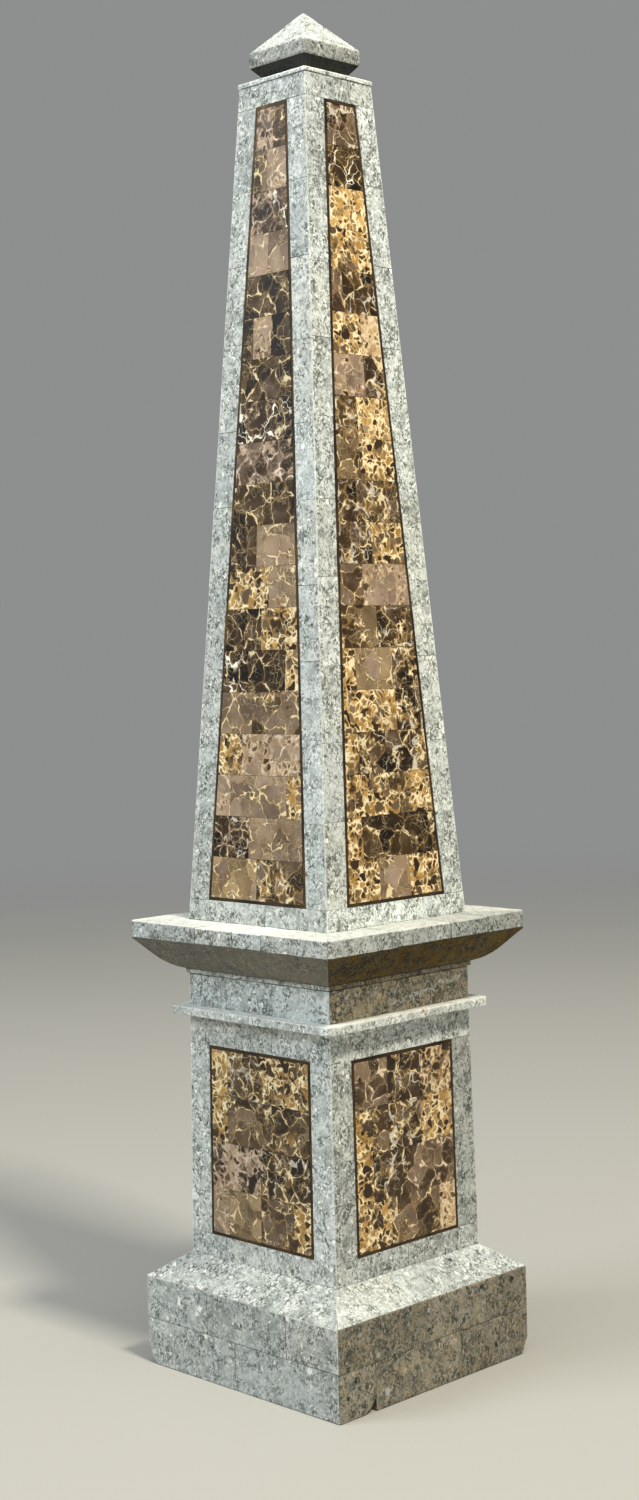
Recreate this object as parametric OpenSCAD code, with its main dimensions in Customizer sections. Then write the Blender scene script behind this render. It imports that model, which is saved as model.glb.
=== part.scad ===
// Ornamental obelisk: a stone-veneered pedestal, cornice, tapering shaft and cap stone.
// Everything is square in plan. The origin is the middle of the underside, +Z is up.

/* [Plinth] */
// Width of the plinth skirt
plinth_w = 170; // [150:1:210]
// Height of the lower course of the skirt
plinth_lower_h = 29; // [20:0.5:45]
// Height of the upper course of the skirt
plinth_upper_h = 26.5; // [18:0.5:45]
// Height of the weathered slope up to the die
plinth_slope_h = 15; // [8:0.5:30]

/* [Die] */
// Width of the die at its foot
die_foot_w = 128; // [110:0.5:145]
// Width of the die at its head
die_head_w = 124; // [105:0.5:145]
// Height of the die
die_h = 152; // [110:1:220]
// Height of the stone rail below the die panel
die_foot_rail = 14; // [8:0.5:24]
// Height of the stone rail above the die panel
die_head_rail = 19; // [8:0.5:28]
// Width of the stone stile beside the die panel at its foot
die_foot_stile = 18.5; // [10:0.5:28]
// Width of the stone stile beside the die panel at its head
die_head_stile = 17.5; // [10:0.5:28]

/* [Neck and cornice] */
// Width of the fillet slab on the die
fillet_w = 142; // [126:1:165]
// Height of the fillet slab
fillet_h = 5; // [3:0.5:10]
// Plan radius of the fillet slab's corners
fillet_corner_r = 4; // [1:0.5:8]
// Width of the neck block
neck_w = 124; // [105:0.5:124]
// Height of the neck block
neck_h = 19.5; // [10:0.5:40]
// Width of the bed strip under the soffit
bed_w = 127; // [124:0.5:145]
// Height of the bed strip
bed_h = 3.5; // [2:0.5:8]
// Height of the curved soffit
soffit_h = 21; // [12:0.5:35]
// How far the soffit swells beyond a straight slope
soffit_bulge = 2.4; // [1:0.1:4]
// Width of the cornice slab
slab_w = 177; // [150:1:220]
// Height of the cornice slab
slab_h = 10; // [6:0.5:20]
// Plan radius of the cornice slab's corners
slab_corner_r = 5.5; // [1:0.5:12]

/* [Shaft] */
// Width of the shaft at its foot
shaft_foot_w = 123; // [100:0.5:150]
// Width of the shaft at its head
shaft_head_w = 57.5; // [46:0.5:90]
// Height of the shaft
shaft_h = 513; // [380:1:720]
// Height of the stone rail below the shaft panel
shaft_foot_rail = 13; // [8:0.5:30]
// Height of the stone rail above the shaft panel
shaft_head_rail = 14; // [8:0.5:30]
// Width of the stone stile beside the shaft panel at its foot
shaft_foot_stile = 17.5; // [10:0.5:26]
// Width of the stone stile beside the shaft panel at its head
shaft_head_stile = 16; // [10:0.5:17]

/* [Cap] */
// Width of the thin plate that closes the shaft
top_plate_w = 58.5; // [52:0.5:95]
// Height of the thin plate that closes the shaft
top_plate_h = 3; // [2:0.5:6]
// Width of the cap stone where it stands on the plate
cap_foot_w = 31.5; // [20:0.5:44]
// Width of the cap stone
cap_w = 49; // [40:0.5:80]
// Height of the undercut below the cap stone's band
cap_undercut_h = 10; // [5:0.5:16]
// Height of the cap stone's upright band
cap_band_h = 8.5; // [4:0.5:16]
// Height of the cap stone's pyramid
cap_peak_h = 24; // [14:0.5:45]
// Width of the worn flat at the very top
cap_tip_w = 2; // [1:0.5:4]

/* [Veneer] */
// Thickness of the stone veneer on the shaft and the die
veneer_t = 4; // [3:0.5:6]
// Width of the brass strip round each panel
brass_w = 2; // [1:0.25:4]

/* [Damage] */
// Height of the broken-off corner at the left of the plinth
left_chip_h = 6.5; // [2:0.5:12]
// Length of the broken-off corner at the left of the plinth, along each face
left_chip_w = 9; // [3:0.5:14]
// Height of the broken-off corner at the right of the plinth
right_chip_h = 11; // [2:0.5:15]
// Length of the broken-off corner at the right of the plinth, along each face
right_chip_w = 6; // [3:0.5:14]
// Height of the gap broken out of the right face's bottom edge
edge_chip_h = 5; // [2:0.5:9]
// Length of the gap broken out of the right face's bottom edge
edge_chip_w = 9; // [4:0.5:16]
// Depth of the gap broken out of the right face's bottom edge
edge_chip_t = 4; // [2:0.5:6]
// Distance of that gap's upright side from the near corner
edge_chip_from_corner = 31; // [20:1:60]

/* [Hidden] */
$fn = 64;
SIDES = ["front", "right", "back", "left"];

grey_marble = "#8f9a92";
brown_marble = "#5d4631";
patinated_brass = "#6f5526";
core_board = "#b8a88a";

// Levels at which each piece stands, from the ground up
upper_course_z = plinth_lower_h;
slope_z = upper_course_z + plinth_upper_h;
die_z = slope_z + plinth_slope_h;
fillet_z = die_z + die_h;
neck_z = fillet_z + fillet_h;
bed_z = neck_z + neck_h;
soffit_z = bed_z + bed_h;
slab_z = soffit_z + soffit_h;
shaft_z = slab_z + slab_h;
top_plate_z = shaft_z + shaft_h;
cap_z = top_plate_z + top_plate_h;

// A value that runs evenly from foot to head over a height
function at_height(foot, head, h, z) = foot + (head - foot) * z / h;

// A trapezoid standing on its foot, as an upright profile
module upright_profile(foot_w, head_w, low, high) {
    polygon([
        [-foot_w / 2, low], [foot_w / 2, low],
        [head_w / 2, high], [-head_w / 2, high]
    ]);
}

// The profile drawn on the XZ plane, pushed out along Y both ways
module along_y(length) {
    rotate([90, 0, 0])
        linear_extrude(height = length, center = true)
            children();
}

// A square block that tapers evenly from its foot to its head
module tapered_block(foot_w, head_w, h) {
    deep = 2 * max(foot_w, head_w);
    intersection() {
        along_y(deep) upright_profile(foot_w, head_w, 0, h);
        rotate([0, 0, 90])
            along_y(deep) upright_profile(foot_w, head_w, 0, h);
    }
}

// A flat square slab, from z = 0 up
module square_slab(w, h) {
    translate([-w / 2, -w / 2, 0]) cube([w, w, h]);
}

// A flat square slab with its four upright corners rounded
module round_cornered_slab(w, h, r) {
    inner = w - 2 * r;
    union() {
        translate([-w / 2, -inner / 2, 0]) cube([w, inner, h]);
        translate([-inner / 2, -w / 2, 0]) cube([inner, w, h]);
        for (x = [-1, 1], y = [-1, 1])
            translate([x * inner / 2, y * inner / 2, 0]) cylinder(h = h, r = r);
    }
}

// The quarter of the plan that belongs to the front face, cut on the diagonals
module front_quarter(w, h) {
    linear_extrude(height = h)
        polygon([[0, 0], [-w, -w], [w, -w]]);
}

// The veneer of the front face, mitred at both arrises
module front_veneer(foot_w, head_w, h) {
    difference() {
        intersection() {
            tapered_block(foot_w, head_w, h);
            front_quarter(max(foot_w, head_w), h);
        }
        tapered_block(foot_w - 2 * veneer_t, head_w - 2 * veneer_t, h);
    }
}

// The panel opening of the front face, cut straight through the veneer.
// inset narrows it all round; rails and stiles are the stone left round it.
module front_opening(foot_w, head_w, h, rails, stiles, inset) {
    low = rails[0];
    high = h - rails[1];
    low_half = at_height(foot_w, head_w, h, low) / 2 - stiles[0];
    high_half = at_height(foot_w, head_w, h, high) / 2 - stiles[1];
    rise = high - low;
    lean = (high_half - low_half) / rise;
    deep = max(foot_w, head_w);
    translate([0, -deep / 2, 0])
        along_y(deep)
            upright_profile(
                2 * (low_half + lean * inset - inset),
                2 * (high_half - lean * inset - inset),
                low + inset, high - inset);
}

module front_frame(foot_w, head_w, h, rails, stiles) {
    difference() {
        front_veneer(foot_w, head_w, h);
        front_opening(foot_w, head_w, h, rails, stiles, 0);
    }
}

module front_brass(foot_w, head_w, h, rails, stiles) {
    difference() {
        intersection() {
            front_veneer(foot_w, head_w, h);
            front_opening(foot_w, head_w, h, rails, stiles, 0);
        }
        front_opening(foot_w, head_w, h, rails, stiles, brass_w);
    }
}

module front_panel(foot_w, head_w, h, rails, stiles) {
    intersection() {
        front_veneer(foot_w, head_w, h);
        front_opening(foot_w, head_w, h, rails, stiles, brass_w);
    }
}

// Turns a piece made for the front face round to a numbered side
module on_side(index) {
    rotate([0, 0, 90 * index]) children();
}

// A corner broken off the underside of the plinth, in the front left corner
module corner_chip(w, h) {
    half = plinth_w / 2;
    past = 2;
    // The plane of the break runs through (w, 0), (0, w) and (0, 0, h)
    reach = w * past;
    tall = h * past;
    intersection() {
        translate([-half, -half, 0]) rotate([0, 0, 45])
            along_y(reach)
                polygon([[-reach, -tall], [w / sqrt(2), 0], [0, h], [-reach, h]]);
        translate([-half - reach, -half - reach, -tall]) cube([2 * reach, 2 * reach, 2 * tall]);
    }
}

// The gap broken out of the right face's bottom edge, upright on one side
module edge_chip() {
    half = plinth_w / 2;
    past = 1;
    translate([half - edge_chip_t, -half + edge_chip_from_corner, 0])
        rotate([90, 0, 90])
            linear_extrude(height = edge_chip_t + past)
                polygon([[0, -past], [0, edge_chip_h], [-edge_chip_w, 0], [-edge_chip_w, -past]]);
}

module plinth_lower_course() {
    color(grey_marble)
        difference() {
            square_slab(plinth_w, plinth_lower_h);
            corner_chip(left_chip_w, left_chip_h);
            rotate([0, 0, 180]) corner_chip(right_chip_w, right_chip_h);
            edge_chip();
        }
}

module plinth_upper_course() {
    color(grey_marble)
        translate([0, 0, upper_course_z]) square_slab(plinth_w, plinth_upper_h);
}

module plinth_slope() {
    color(grey_marble)
        translate([0, 0, slope_z]) tapered_block(plinth_w, die_foot_w, plinth_slope_h);
}

module die_core() {
    color(core_board)
        translate([0, 0, die_z])
            tapered_block(die_foot_w - 2 * veneer_t, die_head_w - 2 * veneer_t, die_h);
}

die_rails = [die_foot_rail, die_head_rail];
die_stiles = [die_foot_stile, die_head_stile];

module die_frame(index) {
    color(grey_marble)
        translate([0, 0, die_z]) on_side(index)
            front_frame(die_foot_w, die_head_w, die_h, die_rails, die_stiles);
}

module die_brass(index) {
    color(patinated_brass)
        translate([0, 0, die_z]) on_side(index)
            front_brass(die_foot_w, die_head_w, die_h, die_rails, die_stiles);
}

module die_panel(index) {
    color(brown_marble)
        translate([0, 0, die_z]) on_side(index)
            front_panel(die_foot_w, die_head_w, die_h, die_rails, die_stiles);
}

module fillet_slab() {
    color(grey_marble)
        translate([0, 0, fillet_z]) round_cornered_slab(fillet_w, fillet_h, fillet_corner_r);
}

module neck_block() {
    color(grey_marble)
        translate([0, 0, neck_z]) square_slab(neck_w, neck_h);
}

module bed_strip() {
    color(grey_marble)
        translate([0, 0, bed_z]) square_slab(bed_w, bed_h);
}

// The outer part of the soffit's profile on one side, with its curved edge
module soffit_swell(centre, r) {
    intersection() {
        translate(centre) circle(r = r, $fn = 180);
        translate([centre.x, 0]) square([slab_w / 2 - centre.x, soffit_h]);
    }
}

// The soffit's whole profile, pushed out along Y
module soffit_bar(centre, r) {
    along_y(2 * slab_w)
        union() {
            translate([-bed_w / 2, 0]) square([bed_w, soffit_h]);
            soffit_swell(centre, r);
            mirror([1, 0]) soffit_swell(centre, r);
        }
}

// The soffit curves out from the bed strip to the slab's lower edge
module cornice_soffit() {
    foot = bed_w / 2;
    head = slab_w / 2;
    run = head - foot;
    chord = sqrt(run * run + soffit_h * soffit_h);
    r = (chord * chord / 4 + soffit_bulge * soffit_bulge) / (2 * soffit_bulge);
    back = r - soffit_bulge;
    centre = [
        (foot + head) / 2 - soffit_h / chord * back,
        soffit_h / 2 + run / chord * back
    ];
    color(grey_marble)
        translate([0, 0, soffit_z])
            intersection() {
                soffit_bar(centre, r);
                rotate([0, 0, 90]) soffit_bar(centre, r);
                round_cornered_slab(slab_w, soffit_h, slab_corner_r);
            }
}

module cornice_slab() {
    color(grey_marble)
        translate([0, 0, slab_z]) round_cornered_slab(slab_w, slab_h, slab_corner_r);
}

module shaft_core() {
    color(core_board)
        translate([0, 0, shaft_z])
            tapered_block(shaft_foot_w - 2 * veneer_t, shaft_head_w - 2 * veneer_t, shaft_h);
}

shaft_rails = [shaft_foot_rail, shaft_head_rail];
shaft_stiles = [shaft_foot_stile, shaft_head_stile];

module shaft_frame(index) {
    color(grey_marble)
        translate([0, 0, shaft_z]) on_side(index)
            front_frame(shaft_foot_w, shaft_head_w, shaft_h, shaft_rails, shaft_stiles);
}

module shaft_brass(index) {
    color(patinated_brass)
        translate([0, 0, shaft_z]) on_side(index)
            front_brass(shaft_foot_w, shaft_head_w, shaft_h, shaft_rails, shaft_stiles);
}

module shaft_panel(index) {
    color(brown_marble)
        translate([0, 0, shaft_z]) on_side(index)
            front_panel(shaft_foot_w, shaft_head_w, shaft_h, shaft_rails, shaft_stiles);
}

module shaft_top_plate() {
    color(grey_marble)
        translate([0, 0, top_plate_z]) square_slab(top_plate_w, top_plate_h);
}

module cap_stone() {
    color(grey_marble)
        translate([0, 0, cap_z])
            union() {
                tapered_block(cap_foot_w, cap_w, cap_undercut_h);
                translate([0, 0, cap_undercut_h]) square_slab(cap_w, cap_band_h);
                translate([0, 0, cap_undercut_h + cap_band_h])
                    tapered_block(cap_w, cap_tip_w, cap_peak_h);
            }
}

plinth_lower_course();
plinth_upper_course();
plinth_slope();
die_core();
for (index = [0:3]) {
    die_frame(index);
    die_brass(index);
    die_panel(index);
}
fillet_slab();
neck_block();
bed_strip();
cornice_soffit();
cornice_slab();
shaft_core();
for (index = [0:3]) {
    shaft_frame(index);
    shaft_brass(index);
    shaft_panel(index);
}
shaft_top_plate();
cap_stone();
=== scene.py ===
import math
import random
from itertools import groupby

import bmesh
import bpy
from mathutils import Matrix, Vector, noise


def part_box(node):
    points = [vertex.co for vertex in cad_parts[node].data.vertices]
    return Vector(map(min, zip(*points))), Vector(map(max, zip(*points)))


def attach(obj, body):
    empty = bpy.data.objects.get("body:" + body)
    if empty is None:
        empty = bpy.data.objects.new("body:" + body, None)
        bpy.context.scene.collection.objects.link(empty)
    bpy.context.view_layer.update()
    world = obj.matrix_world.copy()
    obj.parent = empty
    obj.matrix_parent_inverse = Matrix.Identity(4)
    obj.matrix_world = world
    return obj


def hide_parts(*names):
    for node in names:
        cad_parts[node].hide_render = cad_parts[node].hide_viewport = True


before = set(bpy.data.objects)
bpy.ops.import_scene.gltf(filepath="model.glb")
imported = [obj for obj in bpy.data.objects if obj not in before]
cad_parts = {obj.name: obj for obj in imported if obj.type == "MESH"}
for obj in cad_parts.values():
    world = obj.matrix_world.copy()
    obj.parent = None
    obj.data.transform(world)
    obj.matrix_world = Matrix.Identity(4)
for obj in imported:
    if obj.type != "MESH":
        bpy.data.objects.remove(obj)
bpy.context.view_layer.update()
print("frame loaded:", len(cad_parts), "nodes")

mm = 0.001
sides = ["front", "right", "back", "left"]  # each is the front turned a quarter further round +Z
tiny = 0.01  # mm, two levels closer than this are one level


def turnTo(side):
    return Matrix.Rotation(math.pi / 2 * side, 3, "Z")


# Reading the frame, in millimetres

def boxOf(node):
    low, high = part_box(node)
    return low / mm, high / mm


def levelsOf(node):
    low, high = boxOf(node)
    return low.z, high.z


def halfWidthOf(node, measure=lambda point: point.x):
    # the node's half-width as a function of height, even from its foot to its head
    low, high = levelsOf(node)
    points = [v.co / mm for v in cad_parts[node].data.vertices]
    foot = max(measure(p) for p in points if p.z < low + tiny)
    head = max(measure(p) for p in points if p.z > high - tiny)
    return lambda z: foot + (head - foot) * (z - low) / (high - low)


# Shader sums: a Sock stands for one socket of one finish

class Sock:
    def __init__(self, finish, socket):
        self.finish = finish
        self.socket = socket

    def join(self, operation, other, swapped=False):
        pair = [other, self] if swapped else [self, other]
        vectors = [isVector(one) for one in pair]
        if not any(vectors):
            return self.finish.node("ShaderNodeMath", {"operation": operation}, {0: pair[0], 1: pair[1]})
        if operation == "MULTIPLY" and not all(vectors):
            vector, number = pair if vectors[0] else pair[::-1]
            return self.finish.vector("SCALE", {0: vector, "Scale": number})
        return self.finish.vector(operation, {0: pair[0], 1: pair[1]})

    def __add__(self, other):
        return self.join("ADD", other)

    def __radd__(self, other):
        return self.join("ADD", other, True)

    def __sub__(self, other):
        return self.join("SUBTRACT", other)

    def __rsub__(self, other):
        return self.join("SUBTRACT", other, True)

    def __mul__(self, other):
        return self.join("MULTIPLY", other)

    def __rmul__(self, other):
        return self.join("MULTIPLY", other, True)

    def least(self, other):
        return self.join("MINIMUM", other)

    def most(self, other):
        return self.join("MAXIMUM", other)

    def rise(self, low, high):
        # 0 below low, 1 above high, smooth between them
        return self.finish.node("ShaderNodeMapRange", {"interpolation_type": "SMOOTHSTEP"},
                                {"Value": self, "From Min": low, "From Max": high})

    def part(self, index):
        return self.finish.node("ShaderNodeSeparateXYZ", {}, {0: self}, index)


def isVector(value):
    if isinstance(value, Sock):
        return value.socket.type in ("VECTOR", "RGBA")
    return isinstance(value, (tuple, Vector))


class Finish:
    def __init__(self, name):
        self.material = bpy.data.materials.new(name)
        self.material.use_nodes = True
        self.tree = self.material.node_tree
        self.tree.nodes.clear()

    def node(self, kind, settings, sockets, output=0):
        made = self.tree.nodes.new(kind)
        for key, value in settings.items():
            if key == "stops":
                ramp = made.color_ramp
                while len(ramp.elements) < len(value):
                    ramp.elements.new(0.5)
                for element, (position, colour) in zip(ramp.elements, value):
                    element.position = position
                    element.color = colour
            else:
                setattr(made, key, value)
        for key, value in sockets.items():
            if isinstance(value, Sock):
                self.tree.links.new(value.socket, made.inputs[key])
            else:
                made.inputs[key].default_value = value
        return Sock(self, made.outputs[output])

    def place(self):
        # Object coordinates in millimetres
        return self.node("ShaderNodeTexCoord", {}, {}, "Object") * (1 / mm)

    def attribute(self, name):
        return self.node("ShaderNodeAttribute", {"attribute_name": name}, {}, "Vector")

    def vector(self, operation, sockets, output="Vector"):
        return self.node("ShaderNodeVectorMath", {"operation": operation}, sockets, output)

    def normalUp(self):
        return self.node("ShaderNodeNewGeometry", {}, {}, "Normal").part(2)

    def noise(self, place, size, detail=2.0, roughness=0.5, output=0):
        # size is the width of one blotch, in millimetres
        sockets = {"Vector": place, "Scale": 1 / size, "Detail": detail, "Roughness": roughness}
        return self.node("ShaderNodeTexNoise", {}, sockets, output)

    def bend(self, place, size, detail, roughness=0.5):
        # a vector that wanders about zero
        return self.noise(place, size, detail, roughness, 1) - (0.5, 0.5, 0.5)

    def cells(self, place, size, feature, output="Distance"):
        sockets = {"Vector": place, "Scale": 1 / size}
        return self.node("ShaderNodeTexVoronoi", {"feature": feature}, sockets, output)

    def cellEdge(self, place, size):
        return self.cells(place, size, "DISTANCE_TO_EDGE")

    def cellKind(self, place, size):
        # three random shares, the same all over one cell
        return self.cells(place, size, "F1", "Color")

    def mix(self, share, first, second):
        return self.node("ShaderNodeMix", {"data_type": "RGBA"}, {0: share, 6: first, 7: second}, 2)

    def ramp(self, value, stops):
        return self.node("ShaderNodeValToRGB", {"stops": stops}, {0: value})

    def bump(self, height, distance, strength=1.0):
        sockets = {"Height": height, "Distance": distance * mm, "Strength": strength}
        return self.node("ShaderNodeBump", {}, sockets)

    def surface(self, sockets):
        shader = self.node("ShaderNodeBsdfPrincipled", {}, sockets)
        output = self.tree.nodes.new("ShaderNodeOutputMaterial")
        self.tree.links.new(shader.socket, output.inputs["Surface"])
        return self.material


def shade(code):
    # a colour written as on screen, six hex digits, as the linear colour that shaders take
    parts = [int(code[i:i + 2], 16) / 255 for i in (0, 2, 4)]
    return tuple(c / 12.92 if c < 0.04045 else ((c + 0.055) / 1.055) ** 2.4 for c in parts) + (1.0,)


def ramped(*stops):
    # a ramp's stops, given as place and colour in turn
    return [(place, shade(code)) for place, code in zip(stops[::2], stops[1::2])]


# What every stone carries into its finish, as attributes on its vertices
stoneSeed = "stoneSeed"  # shifts the pattern, so that no two stones continue each other
stoneTone = "stoneTone"  # how this stone differs from the next, read by its finish
stoneLow = "stoneLow"    # mm from its left end, its back and its foot
stoneHigh = "stoneHigh"  # mm from its right end, its face and its head
stoneEnds = "stoneEnds"  # 1 where the left end, the right end or the head is an open arris
stoneLayers = [stoneSeed, stoneTone, stoneLow, stoneHigh, stoneEnds]
far = 50  # mm, further from an arris or a joint than any wear or dirt reaches


def edgesOf(finish, normalUp):
    # mm to the nearest open arris, and to the nearest joint
    low = finish.attribute(stoneLow)
    high = finish.attribute(stoneHigh)
    ends = finish.attribute(stoneEnds)
    out = high.part(1)
    level = normalUp.rise(0.9, 0.95)  # 1 on a flat top, where the nearest arris is the face's
    head = high.part(2) + (out - high.part(2)) * level
    foot = low.part(2) + level * far
    arris = (low.part(0) + (1 - ends.part(0)) * far).least(high.part(0) + (1 - ends.part(1)) * far)
    arris = arris.least(head + (1 - ends.part(2)) * far)
    joint = (low.part(0) + ends.part(0) * far).least(high.part(0) + ends.part(1) * far)
    joint = joint.least(foot).least(head + ends.part(2) * far)
    return arris, joint


# Marks of wear at places of their own on the grey stones

pits = {
    # for a node and a side: share along the face from its left, share up the node, radius in mm
    ("plinth_upper_course", "right"): [(0.745, 0.86, 2.0), (0.915, 0.8, 2.4), (0.46, 0.3, 1.5)],
    ("plinth_lower_course", "right"): [(0.09, 0.76, 2.8), (0.045, 0.46, 1.7), (0.82, 0.43, 1.9)],
    ("plinth_slope", "right"): [(0.735, 0.8, 1.8)],
    ("plinth_upper_course", "back"): [(0.3, 0.6, 2.2)],
    ("plinth_lower_course", "back"): [(0.7, 0.4, 1.8)],
    ("plinth_upper_course", "left"): [(0.55, 0.5, 2.0)],
    ("die_frame_left", "left"): [(0.93, 0.3, 1.6)],
}
shells = {
    ("plinth_upper_course", "front"): [(0.18, 0.62, 3.0), (0.295, 0.56, 2.0), (0.75, 0.95, 2.0)],
    ("plinth_lower_course", "front"): [(0.325, 0.95, 2.4), (0.86, 0.92, 2.2)],
    ("plinth_upper_course", "right"): [(0.195, 0.13, 2.6), (0.465, 0.75, 2.0)],
    ("plinth_lower_course", "right"): [(0.24, 0.3, 3.0)],
    ("plinth_upper_course", "left"): [(0.25, 0.4, 2.5)],
    ("plinth_lower_course", "back"): [(0.4, 0.7, 2.6)],
}
redMarks = {("fillet_slab", "right"): [(0.57, 0.9, 1.5)]}
cracks = {
    # share along and share up of both ends, half-width in mm
    ("die_frame_front", "front"): [(0.852, 0.26, 0.974, 0.145, 0.8)],
    ("shaft_frame_front", "front"): [(0.135, 0.325, 0.19, 0.355, 0.5)],
    ("die_frame_back", "back"): [(0.06, 0.7, 0.15, 0.82, 0.6)],
}
scuffs = {
    ("neck_block", "right"): [(0.4, 0.25, 0.62, 0.4, 1.3), (0.55, 0.42, 0.8, 0.52, 1.7),
                              (0.72, 0.62, 0.95, 0.74, 1.5), (0.1, 0.7, 0.24, 0.8, 1.2)],
    ("neck_block", "back"): [(0.3, 0.5, 0.55, 0.6, 1.4)],
    ("plinth_lower_course", "right"): [(0.06, 0.3, 0.1, 0.95, 0.9)],
}


def onFace(node, side, along, up):
    low, high = levelsOf(node)
    z = low + (high - low) * up
    half = halfWidthOf(node, lambda point: max(abs(point.x), abs(point.y)))(z)
    return turnTo(sides.index(side)) @ Vector(((2 * along - 1) * half, -half, z))


def spotsOf(finish, place, marks):
    # 1 inside any of the marks
    found = 0
    for face, spots in marks.items():
        for along, up, radius in spots:
            away = finish.vector("DISTANCE", {0: place, 1: onFace(*face, along, up)}, "Value")
            found = (1 - away.rise(radius * 0.6, radius)).most(found)
    return found


def linesOf(finish, place, marks):
    # 1 on any of the lines
    ending = 2  # mm over which a line fades in and out
    found = 0
    for face, lines in marks.items():
        for along, up, farAlong, farUp, wide in lines:
            start = onFace(*face, along, up)
            run = onFace(*face, farAlong, farUp) - start
            heading = run.normalized()
            fromStart = place - start
            crossed = finish.vector("CROSS_PRODUCT", {0: fromStart, 1: heading})
            away = finish.vector("LENGTH", {0: crossed}, "Value")
            gone = finish.vector("DOT_PRODUCT", {0: fromStart, 1: heading}, "Value")
            within = gone.rise(0, ending) * (1 - gone.rise(run.length - ending, run.length))
            found = ((1 - away.rise(wide * 0.5, wide)) * within).most(found)
    return found


greyMarble = {
    "light": shade("c6ccca"),
    "dark": shade("636862"),
    "warmTint": (0.25, -0.12, -0.55),
    "white": shade("f0f1ea"),
    "black": shade("2b2b28"),
    "dirt": shade("4a463d"),
    "red": shade("b0463c"),
    # flat tops going white is painted light and sky reflection from above, with some dust
    "dustAndTopLight": 0.4,  # how far flat tops go white
    # widths of blotches, crumbs and cells, in mm
    "fineSize": 1.0, "grainSize": 1.05, "fleckSize": 1.9, "wearSize": 2.2, "bendSize": 5, "shardSize": 7,
    "patchSize": 7, "streakSize": 7, "swarmSize": 8, "crushSize": 9, "cloudSize": 42,
    "veinSize": 34, "crackSize": 52, "dirtSize": 30,
    "seedReach": 300,  # mm that a stone's pattern may be shifted by
}


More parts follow.
